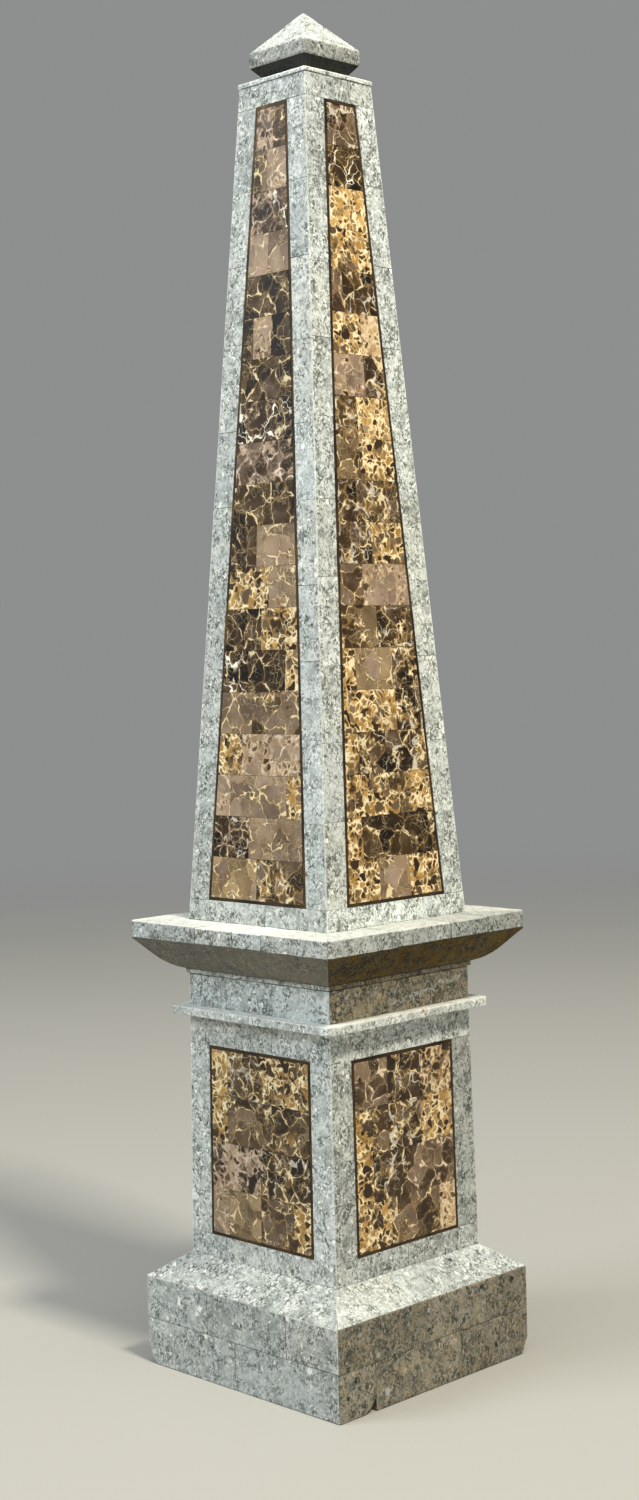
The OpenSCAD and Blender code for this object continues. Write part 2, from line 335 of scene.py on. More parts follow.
def makeGreyMarble():
    look = greyMarble
    finish = Finish("grey_marble")
    place = finish.place()
    tone = finish.attribute(stoneTone)
    spot = place + finish.attribute(stoneSeed) * look["seedReach"]
    up = finish.normalUp()
    # crushed fragments of three sizes, each with its own shade, and clouds over the whole slab
    bend = finish.bend(spot, look["bendSize"], 3, 0.6)
    fine = finish.noise(spot, look["fineSize"], 2, 0.7)
    grain = finish.cellKind(spot * (1.0, 1.0, 0.75) + bend * 3, look["grainSize"])
    fleckAt = spot + bend * 6
    fleck = finish.cellKind(fleckAt, look["fleckSize"])
    fleckEdge = finish.cellEdge(fleckAt, look["fleckSize"])
    shard = finish.cellKind(spot + bend * 12, look["shardSize"])
    patch = finish.noise(spot, look["patchSize"], 3, 0.6)
    cloud = finish.noise(spot, look["cloudSize"], 2)
    # where the bed was crushed most
    crush = 0.4 + finish.noise(spot + (60, 10, 35), look["crushSize"], 3).rise(0.38, 0.62)
    flecks = (fine - 0.5) * 1.5 + (grain.part(0) - 0.5) * 0.9 + (fleck.part(0) - 0.5) * 0.5
    clouds = (shard.part(0) - 0.5) * 0.3 + (patch - 0.5) * 1.1 + (cloud - 0.5) * 0.7
    body = 0.64 + (flecks * crush + clouds) * (0.75 + tone.part(2) * 0.6)
    colour = finish.mix(body, look["dark"], look["light"])
    # black specks and crushed seams, pale shell bits
    speck = grain.part(1).rise(0.86, 0.9).most(fleck.part(1).rise(0.93, 0.95) * 0.8)
    speck = speck * (0.3 + tone.part(2)).least(0.8) * (crush - 0.4)
    seamZone = finish.noise(spot + (20, 5, 60), look["crushSize"], 2).rise(0.5, 0.6)
    seam = (1 - fleckEdge.rise(0.01, 0.07)) * seamZone
    chalk = grain.part(2).rise(0.95, 0.97) * 0.5 * crush
    chip = fleck.part(2).rise(0.985, 0.99) * 0.85
    # thin scratches, most pale and some dark, in swarms
    streak = finish.cellEdge(spot * (1.0, 1.0, 0.6) + bend * 11, look["streakSize"])
    swarm = finish.noise(spot + (0, 30, 80), look["swarmSize"], 3)
    scratch = (1 - streak.rise(0.01, 0.05)) * swarm.rise(0.5, 0.6) * 0.55
    scar = (1 - streak.rise(0.0, 0.04)) * (1 - swarm.rise(0.36, 0.43)) * 0.5
    colour = finish.mix(seam * (0.25 + tone.part(2) * 0.4).least(0.55), colour, look["black"])
    colour = finish.mix(scar, colour, look["black"])
    colour = finish.mix(chalk.most(chip).most(scratch), colour, look["white"])
    colour = finish.mix(speck * 0.8, colour, look["black"])
    # pale healed veins, a few open dark ones, and pits
    vein = finish.cellEdge(spot + bend * 14, look["veinSize"])
    healed = (1 - vein.rise(0.004, 0.016)) * finish.noise(spot, 16).rise(0.54, 0.66)
    crack = finish.cellEdge(spot + (90, 20, 40) + bend * 16, look["crackSize"])
    opened = (1 - crack.rise(0.003, 0.009)) * finish.noise(spot + (40, 0, 70), 14).rise(0.6, 0.68)
    opened = opened.most(linesOf(finish, place + bend * 5, cracks))
    pit = spotsOf(finish, place + bend * 3, pits)
    colour = finish.mix(healed * 0.6, colour, look["white"])
    colour = finish.mix((opened * 0.8).most(pit * 0.95), colour, look["black"])
    # worn arrises go pale, joints hold dirt, and flat tops go white: painted light from above, with some
    # dust
    arris, joint = edgesOf(finish, up)
    ragged = finish.noise(place, look["wearSize"], 3)
    worn = 1 - (arris - ragged * 1.1).rise(-0.35, 0.45)
    dirtZone = finish.noise(place, look["dirtSize"]).rise(0.4, 0.62)
    dirty = (1 - (joint - ragged * 0.5).rise(-0.2, 0.1)) * dirtZone
    colour = finish.mix(worn * 0.4, colour, look["white"])
    colour = finish.mix(dirty * 0.6, colour, look["dirt"])
    # painted light: flat tops are made whiter, as if lit from above
    colour = finish.mix(up.rise(0.94, 0.99) * look["dustAndTopLight"], colour, look["white"])
    # the stone's warmth and lightness, painted light and shade on some sides and parts, with shells and
    # scuffs that stay white
    warmth = tone.part(1) * (0.6 + (patch - 0.5) * 1.6)
    tint = (warmth * look["warmTint"] + (1, 1, 1)).most((0.02, 0.02, 0.02))
    shell = spotsOf(finish, place + bend * 7, shells)
    scuff = linesOf(finish, place + bend * 9, scuffs) * grain.part(0).rise(0.2, 0.5)
    colour = finish.mix(shell.most(scuff * 0.8), colour * tint, look["white"])
    colour = colour * (tone.part(0) + 1)
    colour = finish.mix(spotsOf(finish, place + bend * 3, redMarks) * 0.75, colour, look["red"])
    dull = (tone.part(0) * -1).rise(0.55, 0.85)  # the darkest stones have no polish
    roughness = 0.48 + (1 - fine.rise(0.3, 0.7)) * 0.14 + worn * 0.15 + dull * 0.35
    height = fine * 0.4 + ragged * 0.35 - speck * 1.0 - opened * 1.2 - seam * 0.5 - pit * 4.0
    return finish.surface({"Base Color": colour, "Roughness": roughness, "Specular IOR Level": 0.4,
                           "Normal": finish.bump(height, 0.08, 0.8)})


brownMarble = {
    # each ramp from dark to pale, as (place, colour)
    "clasts": ramped(0.0, "140b04", 0.3, "423019", 0.6, "7d6a50", 1.0, "ae9775"),
    "paste": ramped(0.0, "452e12", 0.35, "80602f", 0.7, "ba904e", 1.0, "dcb777"),
    "rosePaste": ramped(0.0, "4e3f36", 0.35, "8a7059", 0.7, "b09478", 1.0, "ceb496"),
    "cream": shade("fbe9bf"),
    "roseCream": shade("e8d5bf"),
    "vein": shade("ebd7ab"),
    "white": shade("fbf3e2"),
    "joint": shade("1e150c"),
    "brownBed": (1.05, 1.0, 0.8, 1.0),
    "greyBed": (0.97, 0.95, 1.19, 1.0),
    # widths in mm
    "fineSize": 2.4, "rippleSize": 3, "netSize": 4.2, "pebbleSize": 7.4, "bendSize": 9, "clastSize": 13,
    "zoneSize": 15, "boldSize": 15,
    "seedReach": 260,
}


def makeBrownMarble():
    look = brownMarble
    finish = Finish("brown_marble")
    place = finish.place()
    seed = finish.attribute(stoneSeed)
    tone = finish.attribute(stoneTone)
    spot = place + seed * look["seedReach"]
    bend = finish.bend(spot, look["bendSize"], 2)
    ripple = finish.bend(spot, look["rippleSize"], 2)
    bent = spot + bend * 9
    fine = finish.noise(spot, look["fineSize"], 3, 0.6)
    rosy = (tone.part(2) * -1).most(0).most(seed.part(0).rise(0.75, 0.95) * 0.6)
    # big angular clasts, each its own shade, healed by veins that swell and pinch out
    clast = finish.cellEdge(bent + ripple, look["clastSize"])
    clastKind = finish.cellKind(bent + ripple, look["clastSize"])
    body = tone.part(0) + (clastKind.part(0) - 0.5) * 0.42 + (finish.noise(spot, 12, 3) - 0.5) * 0.6
    colour = finish.ramp(body + (fine - 0.5) * 0.12, look["clasts"])
    greyness = seed.part(1).most(clastKind.part(1).rise(0.6, 0.7)).most(rosy)
    colour = colour * finish.mix(greyness, look["brownBed"], look["greyBed"])
    veinWide = finish.noise(spot + (30, 0, 60), 8, 3).rise(0.42, 0.75) * 0.06
    veinCore = 1 - (clast - veinWide).rise(-0.02, 0.016)
    veinHalo = 1 - (clast - veinWide).rise(0.0, 0.12)
    veinTone = finish.mix(rosy, look["vein"], look["roseCream"])
    # a fine net, thin over the clasts, and a paste of small clasts where it thickens
    net = finish.cellEdge(bent + ripple * 2, look["netSize"])
    netKind = finish.cellKind(bent + ripple * 2, look["netSize"])
    hair = (1 - net.rise(0.0, 0.05)) * finish.noise(spot + (0, 50, 10), 9).rise(0.42, 0.62)
    zone = finish.noise(spot + (70, 10, 0), look["zoneSize"], 3, 0.6)
    zone = (zone + tone.part(1) * 0.5).rise(0.7, 0.79)
    netWide = finish.noise(spot + (5, 90, 0), 5, 3).rise(0.36, 0.7) * 0.22
    netPower = finish.noise(spot + (45, 0, 25), 7, 3).rise(0.36, 0.56)
    grade = netKind.part(0) * 0.4 + (fine - 0.5) * 0.6 + tone.part(1) * 0.55 + rosy * 0.15
    base = finish.mix(rosy, finish.ramp(grade, look["paste"]), finish.ramp(grade, look["rosePaste"]))
    smallBody = netKind.part(1) * 0.62 + tone.part(0) * 0.3 + (fine - 0.5) * 0.2
    smallTone = finish.ramp(smallBody, look["clasts"])
    noClast = (1 - (net - netWide).rise(0.02, 0.16)).most(netKind.part(2).rise(0.62, 0.72))
    grain = finish.mix(noClast, smallTone, base)
    bright = finish.mix(rosy, look["cream"], look["roseCream"])
    web = (1 - (net - netWide * 0.5).rise(0.0, 0.07)) * netPower * (0.95 - rosy * 0.45)
    paste = finish.mix(web, grain, bright)
    # dark pebbles in the paste
    pebble = finish.cells(bent, look["pebbleSize"], "F1")
    pebbleKind = finish.cellKind(bent, look["pebbleSize"])
    pebbleEdge = finish.cellEdge(bent, look["pebbleSize"])
    reach = pebbleKind.part(1).rise(0.35, 1.0) * 0.56 * (1.35 - tone.part(0))
    inside = (1 - (pebble - reach).rise(-0.02, 0.03)) * pebbleEdge.rise(0.02, 0.09)
    pebbleTone = finish.ramp(pebbleKind.part(2) * 0.4 + tone.part(0) * 0.25, look["clasts"])
    paste = finish.mix(inside, paste, pebbleTone)
    colour = finish.mix(hair * 0.45, colour, veinTone)
    colour = finish.mix(veinHalo * 0.45, colour, base)
    colour = finish.mix(veinCore * 0.9, colour, veinTone)
    colour = finish.mix(zone, colour, paste)
    # bold white healing veins
    bold = finish.cellEdge(spot + bend * 12 + (15, 80, 5), look["boldSize"])
    boldWide = finish.noise(spot, 8).rise(0.45, 0.8) * 0.09
    boldShare = (1 - (bold - boldWide).rise(0.0, 0.02)) * finish.noise(spot, 12).rise(0.4, 0.52)
    colour = finish.mix(boldShare * tone.part(2).rise(0.2, 0.6), colour, look["white"])
    joint = edgesOf(finish, finish.normalUp())[1]
    dirty = 1 - (joint - fine * 0.25).rise(-0.12, 0.1)
    colour = finish.mix(dirty * 0.45, colour, look["joint"])
    roughness = 0.34 + zone * (1 - inside) * 0.12 + fine * 0.08
    height = fine * 0.3 - veinCore * 0.4 + inside * 0.2
    return finish.surface({"Base Color": colour, "Roughness": roughness, "Specular IOR Level": 0.32,
                           "Normal": finish.bump(height, 0.03, 0.6)})


brass = {
    "dark": shade("221a12"),
    "brown": shade("46351f"),
    "bright": shade("8a6833"),
    "blotch": 22,
}


def makeBrass():
    look = brass
    finish = Finish("brass_strip")
    place = finish.place()
    blotch = finish.noise(place, look["blotch"], 3, 0.6)
    grain = finish.noise(place, 0.9, 3)
    colour = finish.mix(blotch.rise(0.3, 0.62), look["dark"], look["brown"])
    glint = (blotch + (grain - 0.5) * 0.5).rise(0.62, 0.72)
    colour = finish.mix(glint * 0.7, colour, look["bright"])
    roughness = 0.5 - glint * 0.12 + grain * 0.1
    return finish.surface({"Base Color": colour, "Metallic": 0.45 + glint * 0.4, "Roughness": roughness,
                           "Normal": finish.bump(grain, 0.05, 0.5)})


board = {"pale": shade("8d7a5c"), "dark": shade("5c4b35"), "grain": 3.5}


def makeBoard():
    look = board
    finish = Finish("core_board")
    place = finish.place()
    strands = finish.noise(place * (1.0, 1.0, 0.12), look["grain"], 4, 0.6)
    colour = finish.mix(strands.rise(0.3, 0.7), look["dark"], look["pale"])
    return finish.surface({"Base Color": colour, "Roughness": 0.8 + strands * 0.1,
                           "Normal": finish.bump(strands, 0.2)})


finishes = {  # one for every slot of the frame
    "grey_marble": makeGreyMarble(),
    "brown_marble": makeBrownMarble(),
    "brass_strip": makeBrass(),
    "core_board": makeBoard(),
}
print("finishes made")


# Stones

def flat(value):
    # an end cut square at one place along the face
    return lambda out, z: value


def newStones():
    stones = bmesh.new()
    for layer in stoneLayers:
        stones.verts.layers.float_vector.new(layer)
    return stones


def writeLayers(stone, v, values):
    for layer, value in zip(stoneLayers, values):
        v[stone.verts.layers.float_vector[layer]] = Vector(value)


def wearDown(stone, depth, wearAt):
    # takes up to so much off the surface, where wearAt says
    shifts = [v.normal * -depth * max(0.0, wearAt(v.co)) for v in stone.verts]
    for v, shift in zip(stone.verts, shifts):
        v.co += shift


def gather(stones, stone):
    carrier = bpy.data.meshes.new("stone")
    stone.to_mesh(carrier)
    stone.free()
    stones.from_mesh(carrier)
    bpy.data.meshes.remove(carrier)


def roundCorners(stone, half, radius):
    # pulls the plan's corners in to a radius
    inner = half - radius
    for v in stone.verts:
        away = Vector((abs(v.co.x) - inner, abs(v.co.y) - inner))
        if away.x > 0 and away.y > 0 and away.length > radius:
            away = away.normalized() * radius
            v.co.x = math.copysign(inner + away.x, v.co.x)
            v.co.y = math.copysign(inner + away.y, v.co.y)


def everything(stone):
    return stone.verts[:] + stone.edges[:] + stone.faces[:]


def cutAcross(stone, point, direction):
    # adds edges along a plane, so that there is something to wear
    bmesh.ops.bisect_plane(stone, geom=everything(stone), dist=tiny / 10, plane_co=point, plane_no=direction)


def faceOutwards(stone):
    bmesh.ops.recalc_face_normals(stone, faces=stone.faces[:])
    if stone.calc_volume(signed=True) < 0:
        bmesh.ops.reverse_faces(stone, faces=stone.faces[:])


def breakOff(stone, point, direction, dice, rough):
    # takes off what lies beyond a plane, and leaves a rough face there
    cut = bmesh.ops.bisect_plane(stone, geom=everything(stone), dist=tiny / 10, plane_co=point,
                                 plane_no=direction, clear_outer=True)
    rim = [e for e in cut["geom_cut"] if isinstance(e, bmesh.types.BMEdge)]
    if not rim:
        return
    filled = bmesh.ops.holes_fill(stone, edges=rim, sides=0)["faces"]
    if not filled:
        return
    poked = bmesh.ops.poke(stone, faces=filled)
    inner = set(poked["verts"])
    spokes = {e for v in inner for e in v.link_edges}
    split = bmesh.ops.subdivide_edges(stone, edges=list(spokes), cuts=2)
    fresh = inner | {g for g in split["geom_inner"] if isinstance(g, bmesh.types.BMVert)}
    for v in fresh:
        if v.is_valid:
            v.co -= Vector(direction) * dice.uniform(0.1, rough)


def addStone(stones, side, outline, leftEnd, rightEnd, dice, tone, shape, ends=(0, 0, 0), breaks=()):
    # outline holds the section's points (out, z); an end gives the place along the face for such a point
    stone = newStones()
    section = stone.faces.new([stone.verts.new((0, -out, z)) for out, z in outline])
    leftRing = set(section.verts)
    bmesh.ops.extrude_face_region(stone, geom=[section])
    gap = shape["gap"] / 2
    for v in stone.verts:
        out = -v.co.y
        v.co.x = leftEnd(out, v.co.z) + gap if v in leftRing else rightEnd(out, v.co.z) - gap
    faceOutwards(stone)
    left = min(v.co.x for v in stone.verts)
    right = max(v.co.x for v in stone.verts)
    cuts = []
    if shape["cutEvery"]:
        count = int((right - left) / shape["cutEvery"])
        cuts = [left + (right - left) * (i + dice.uniform(0.2, 0.8)) / count for i in range(count)]
    if "cornerRadius" in shape:
        half = max(out for out, z in outline)
        radius = shape["cornerRadius"]
        arc = [half - radius + radius * math.sin(math.radians(a)) for a in (0, 9, 18, 27, 36, 45)]
        cuts += [sign * x for x in arc for sign in (-1, 1) if left < sign * x < right]
    for x in cuts:
        cutAcross(stone, (x, 0, 0), (1, 0, 0))
    if "cornerRadius" in shape:
        roundCorners(stone, half, radius)
    sharp = [e for e in stone.edges if e.calc_face_angle(0) > math.radians(25)]
    if "cornerRadius" in shape:
        # the two stones of a rounded corner meet without an arris
        sharp = [e for e in sharp if any(abs(abs(v.co.x) - abs(v.co.y)) > shape["gap"] for v in e.verts)]
    bmesh.ops.bevel(stone, geom=sharp, offset=shape["bevel"], offset_type="OFFSET", segments=shape["rounds"],
                    profile=0.5, affect="EDGES", material=-1, clamp_overlap=True)
    seed = Vector([dice.random() for axis in range(3)])
    outMost = max(out for out, z in outline)
    inMost = min(out for out, z in outline)
    foot = min(z for out, z in outline)
    head = max(z for out, z in outline)
    clear = far if "cornerRadius" in shape else 0  # a rounded corner has no arris to wear
    for v in stone.verts:
        out = -v.co.y
        fromLeft = v.co.x - leftEnd(out, v.co.z) + clear * ends[0]
        fromRight = rightEnd(out, v.co.z) - v.co.x + clear * ends[1]
        lows = (fromLeft, out - inMost, v.co.z - foot)
        highs = (fromRight, outMost - out, head - v.co.z)
        writeLayers(stone, v, (seed, tone, lows, highs, ends))
    wearDown(stone, shape["nick"],
             lambda co: noise.noise(co * 0.21 + seed * 40) + 0.5 * noise.noise(co * 0.9 + seed * 90))
    bmesh.ops.rotate(stone, verts=stone.verts[:], cent=(0, 0, 0), matrix=turnTo(side))
    for point, direction in breaks:
        breakOff(stone, point, direction, dice, shape["rough"])
    bmesh.ops.dissolve_degenerate(stone, dist=tiny / 2, edges=stone.edges[:])
    faceOutwards(stone)
    gather(stones, stone)


def finishPiece(stones, name, slotName, nodes):
    bmesh.ops.scale(stones, vec=(mm, mm, mm), verts=stones.verts[:])
    mesh = bpy.data.meshes.new(name)
    stones.to_mesh(mesh)
    stones.free()
    mesh.materials.append(finishes[slotName])
    piece = bpy.data.objects.new(name, mesh)
    bpy.context.scene.collection.objects.link(piece)
    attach(piece, "root")
    if nodes:
        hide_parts(*nodes)


def slip(half, thickness, low, high, gap):
    # the section of a flat slip of veneer, leaning with the face
    foot = low + gap / 2
    head = high - gap / 2
    front = [(half(foot), foot), (half(head), head)]
    return [(half(foot) - thickness, foot)] + front + [(half(head) - thickness, head)]


def stoneTones(dice, look, sideName, lighter=0):
    # how much lighter than most a stone is, how warm, and how many specks it has: a range that all sides
    # share, and what a side has more than the rest; a side's extra lightness and warmth is painted light
    # and shade, for how the light falls on that side
    light = dice.uniform(*look["light"]) + look.get("sidePaintedLight", {}).get(sideName, 0)
    warm = dice.uniform(*look["warm"]) + look.get("sidePaintedWarmth", {}).get(sideName, 0)
    specks = dice.uniform(*look["specks"]) + look.get("sideSpecks", {}).get(sideName, 0)
    return (light + lighter, warm, specks)


# Courses run round all four sides with mitred corners

def mitreLeft(out, z):
    return -out


def mitreRight(out, z):
    return out


def betweenJoints(places):
    # the left and right end of each stone of a course, along one face
    ends = [mitreLeft] + [flat(place) for place in places] + [mitreRight]
    return list(zip(ends, ends[1:]))


def layCourse(name, look, section, nodes, openHead=0, breaks=()):
    stones = newStones()
    for side, sideName in enumerate(sides):
        dice = random.Random(look["seed"] * 10 + side)
        course = betweenJoints(look["joints"][sideName])
        for i, (leftEnd, rightEnd) in enumerate(course):
            tone = stoneTones(dice, look, sideName)
            ends = (i == 0, i == len(course) - 1, openHead)
            broken = [plane for where, index, plane in breaks if where == sideName and index == i]
            addStone(stones, side, section, leftEnd, rightEnd, dice, tone, look, ends, broken)
    finishPiece(stones, name, "grey_marble", nodes)


plinth = {
    "seed": 11, "gap": 0.12, "bevel": 0.45, "rounds": 2, "nick": 0.5, "cutEvery": 6, "rough": 0.8,
    "slipDepth": 24,
    "light": (-0.12, 0.0), "warm": (0.0, 0.15), "specks": (0.3, 0.6),
    # painted shade: the right side is made darker and warmer, as in shade under warm light, partly browner
    # stone; the upper course shares it
    "sidePaintedLight": {"right": -0.5}, "sidePaintedWarmth": {"right": 0.7}, "sideSpecks": {"right": 0.8},
    "joints": {"front": [-60, -4], "right": [-54, 22], "back": [-30, 30], "left": [-12, 48]},
    # how far along both faces and how far up each broken corner goes
    "leftCorner": (9, 6.5), "rightCorner": (6, 11),
}
upperPlinth = dict(plinth, seed=12,
                   joints={"front": [-28.7, 41], "right": [-8, 46], "back": [-50, 14], "left": [8]})
# painted light: the slope's right side is made lighter, for the light from above on that side
slope = dict(plinth, seed=13, nick=0.35, light=(-0.2, -0.08), sidePaintedLight={"right": 0.28}, sidePaintedWarmth={},
             sideSpecks={}, inset=6,
             joints={"front": [35], "right": [-20, 38], "back": [0], "left": [-24, 30]})
plinthBoard = {"clear": 0.3, "foot": 1.2, "head": 5.8, "bevel": 1.2}


def square(outer, inner, low, high):
    return [(inner, low), (outer, low), (outer, high), (inner, high)]


def cutPlane(point, direction):
    return point, Vector(direction).normalized()


def cornerPlane(x, y, run, rise):
    # the plane that cuts a bottom corner off
    acrossX = math.copysign(1, x)
    acrossY = math.copysign(1, y)
    return cutPlane((x - acrossX * run, y, 0), (acrossX / run, acrossY / run, -1 / rise))


def layPlinth():
    low, high = boxOf("plinth_lower_course")
    outer = high.x
    inner = outer - plinth["slipDepth"]
    leftBreak = cornerPlane(-outer, -outer, *plinth["leftCorner"])
    rightBreak = cornerPlane(outer, outer, *plinth["rightCorner"])
    breaks = [
        # side, stone from the left, plane
        ("front", 0, leftBreak), ("left", 2, leftBreak),
        ("front", 0, cutPlane((5 - outer, -outer, 1), (-1, -0.6, -0.35))),
        ("right", 2, rightBreak), ("back", 0, rightBreak),
        ("right", 0, cutPlane((outer, -65, 0), (0, 5.5, -11))),
        ("right", 0, cutPlane((outer, -61, 0), (0, 3.2, -2.4))),
    ]
    section = square(outer, inner, low.z, high.z - plinth["gap"])
    layCourse("plinth_lower_stones", plinth, section, ["plinth_lower_course"], 0, breaks)
    low, high = boxOf("plinth_upper_course")
    section = square(outer, inner, low.z, high.z)
    layCourse("plinth_upper_stones", upperPlinth, section, ["plinth_upper_course"], 1)
    low, high = levelsOf("plinth_slope")
    half = halfWidthOf("plinth_slope")
    section = [(inner, low), (half(low), low), (half(high), high), (inner - slope["inset"], high)]
    layCourse("plinth_slope_stones", slope, section, ["plinth_slope"])


def layPlinthBoard():
    # the board that the skirt is built round, seen only from below
    look = plinthBoard
    half = boxOf("plinth_lower_course")[1].x - plinth["slipDepth"] - look["clear"]
    height = levelsOf("plinth_slope")[1] - look["head"] - look["foot"]
    board = newStones()
    bmesh.ops.create_cube(board, size=1)
    bmesh.ops.scale(board, vec=(2 * half, 2 * half, height), verts=board.verts[:])
    bmesh.ops.translate(board, vec=(0, 0, height / 2 + look["foot"]), verts=board.verts[:])
    bmesh.ops.bevel(board, geom=board.edges[:], offset=look["bevel"], offset_type="OFFSET", segments=2,
                    profile=0.5, affect="EDGES", material=-1)
    finishPiece(board, "plinth_board", "core_board", [])


layPlinth()
layPlinthBoard()
print("plinth laid")


# Framed faces: the die and the shaft are built alike

tileKinds = {
    # lightness of the clasts, share of paste, bold white veins or, below nothing, how rosy the paste is
    "n": (0.14, 0.05, 0.15),  # near black
    "b": (0.1, 0.15, 1.0),    # black, bold white veins
    "d": (0.24, 0.32, 0.4),   # dark brown
    "u": (0.42, 0.25, 0.1),   # umber
    "t": (0.66, 0.2, 0.05),   # smooth taupe
    "q": (0.3, 0.42, -1.0),   # dark, in a rosy paste
    "p": (0.75, 0.45, -0.8),  # rosy tan
    "g": (0.3, 0.66, 0.15),   # golden paste round dark pebbles
    "y": (0.9, 0.95, 0.05),   # pale gold
}

# headLight and footLight are for the stones of those rails, stileLight for the left and the right stile
die = {
    "name": "die", "rows": {
        # from the head down, each letter a share of the row's width
        "front": ["yddggg", "guuuuu", "qqqddd", "pttuug"],
        "right": ["uuddgg", "guddgg", "gdduuu", "gguuuy"],
        "back": ["tggddd", "uuutgg", "gddduu", "ttgggp"],
        "left": ["gguuud", "pttttg", "dddggg", "uuutty"],
    },
    "railJoints": {"front": [-32, 20], "right": [-46, -1, 44], "back": [0], "left": [-18, 25]},
    "headJoints": {"front": [12], "right": [36], "back": [-20], "left": [4]},
    "stone": 50.8,
    "seed": 31, "gap": 0.05, "bevel": 0.22, "rounds": 1, "nick": 0.16, "cutEvery": 9,
    "light": (-0.02, 0.14), "warm": (0.0, 0.15), "specks": (0.3, 0.7),
    "headLight": {"right": 0.3}, "footLight": {}, "tileLight": -0.03,
    "stileLight": {"front": (0.14, 0.06), "right": (0.0, -0.16)},
    # painted light and shade: the front is made a little lighter and the right a little darker
    "sidePaintedLight": {"front": 0.06, "right": -0.06}, "sideSpecks": {"right": 0.4},
}

shaft = {
    "name": "shaft", "rows": {
        "front": ["qqqnn", "uuppp", "qqqbb", "pppttt", "nnnn", "nppnn", "nnnn", "bbbb", "qqqqqq", "nnnnn",
                  "nnttt", "gggtt", "nnnggg", "bbnnng", "ttuuu", "ggppppp", "pttttg", "ddttt", "tttddd"],
        "right": ["dddd", "bbbb", "yyyy", "gggg", "uddd", "gggyy", "pppdd", "ddyyy", "uuggg", "dddd",
                  "dddggg", "uupppp", "uuuddd", "gtttdd", "ggggdd", "gddddd", "gggggg", "gnnnnn", "ggttgg"],
        "back": ["gggg", "dddd", "ttgg", "nnnn", "pppd", "bbbb", "gguu", "tttt", "ddgg", "uuuu",
                 "gggdd", "nnntt", "pppgg", "ddddd", "ttggg", "bbnnn", "gguuu", "tttdd", "ggggpp"],
        "left": ["dddd", "yyyy", "uudd", "gggg", "tttn", "ddgg", "bbbb", "pppp", "nnuu", "ggtt",
                 "dddpp", "ggggg", "ttnnn", "uuggg", "ddddd", "pppyy", "nnntt", "ggddd", "ttttgg"],
    },
    "railJoints": {"front": [8], "right": [-14], "back": [20], "left": [-6]},
    "headJoints": {"front": [0], "right": [9], "back": [-8], "left": [4]},
    "stone": 50.8,
    "seed": 51, "gap": 0.05, "bevel": 0.22, "rounds": 1, "nick": 0.16, "cutEvery": 9,
    "light": (0.0, 0.18), "warm": (0.0, 0.15), "specks": (0.3, 0.7),
    "headLight": {}, "footLight": {"front": -0.14, "right": 0.42}, "tileLight": 0.04,
    "stileLight": {"front": (0.0, 0.08), "right": (0.08, 0.2)},
    "sideSpecks": {"right": 0.6},
}

tileShape = {"gap": 0.1, "bevel": 0.09, "rounds": 1, "nick": 0.0, "cutEvery": 0,
             "lightSpread": 0.06, "pasteSpread": 0.08}
barShape = {"gap": 0.06, "bevel": 0.18, "rounds": 2, "nick": 0.05, "cutEvery": 12,
            "recess": 0.12, "depth": 3.9}


def mirrored(half):
    # the left and the right edge of something that narrows upwards
    return (lambda out, z: -half(z)), (lambda out, z: half(z))


def layFrame(look, side, sideName):
    name = look["name"]
    node = name + "_frame_" + sideName
    half = halfWidthOf(name + "_frame_front")
    openLeft, openRight = mirrored(halfWidthOf(name + "_brass_front"))
    low, high = levelsOf(node)
    openLow, openHigh = levelsOf(name + "_brass_" + sideName)
    thick = half(low) - boxOf(name + "_core")[1].x
    dice = random.Random(look["seed"] * 10 + side)
    stones = newStones()
    rails = [
        (low, openLow, look["railJoints"], look["footLight"]),
        (openHigh, high, look["headJoints"], look["headLight"]),
    ]
    for foot, head, joints, lights in rails:
        section = slip(half, thick, foot, head, look["gap"])
        course = betweenJoints(joints[sideName])
        for i, (leftEnd, rightEnd) in enumerate(course):
            tone = stoneTones(dice, look, sideName, lights.get(sideName, 0))
            ends = (i == 0, i == len(course) - 1, 0)
            addStone(stones, side, section, leftEnd, rightEnd, dice, tone, look, ends)
    count = max(1, round((openHigh - openLow) / look["stone"]))
    rise = (openHigh - openLow) / count
    stiles = [(mitreLeft, openLeft), (openRight, mitreRight)]
    for hand, (leftEnd, rightEnd) in enumerate(stiles):
        levels = [openLow + rise * (i + dice.uniform(-0.06, 0.06)) for i in range(1, count)]
        levels = [openLow] + levels + [openHigh]
        lighter = look["stileLight"].get(sideName, (0, 0))[hand]
        for foot, head in zip(levels, levels[1:]):
            section = slip(half, thick, foot, head, look["gap"])
            tone = stoneTones(dice, look, sideName, lighter)
            addStone(stones, side, section, leftEnd, rightEnd, dice, tone, look, (1 - hand, hand, 0))
    finishPiece(stones, name + "_frame_" + sideName + "_stones", "grey_marble", [node])


def layBrass(look, side, sideName):
    name = look["name"]
    node = name + "_brass_" + sideName
    half = halfWidthOf(name + "_frame_front")
    outerLeft, outerRight = mirrored(halfWidthOf(name + "_brass_front"))
    innerLeft, innerRight = mirrored(halfWidthOf(name + "_panel_front"))
    low, high = levelsOf(node)
    innerLow, innerHigh = levelsOf(name + "_panel_" + sideName)
    dice = random.Random(look["seed"] * 10 + side + 4)
    bars = newStones()
    for foot, head, leftEnd, rightEnd in ((low, innerLow, outerLeft, outerRight),
                                          (innerHigh, high, outerLeft, outerRight),
                                          (innerLow, innerHigh, outerLeft, innerLeft),
                                          (innerLow, innerHigh, innerRight, outerRight)):
        section = slip(lambda z: half(z) - barShape["recess"], barShape["depth"], foot, head,
                       barShape["gap"])
        addStone(bars, side, section, leftEnd, rightEnd, dice, (0, 0, 0), barShape)
    finishPiece(bars, name + "_brass_" + sideName + "_bars", "brass_strip", [node])


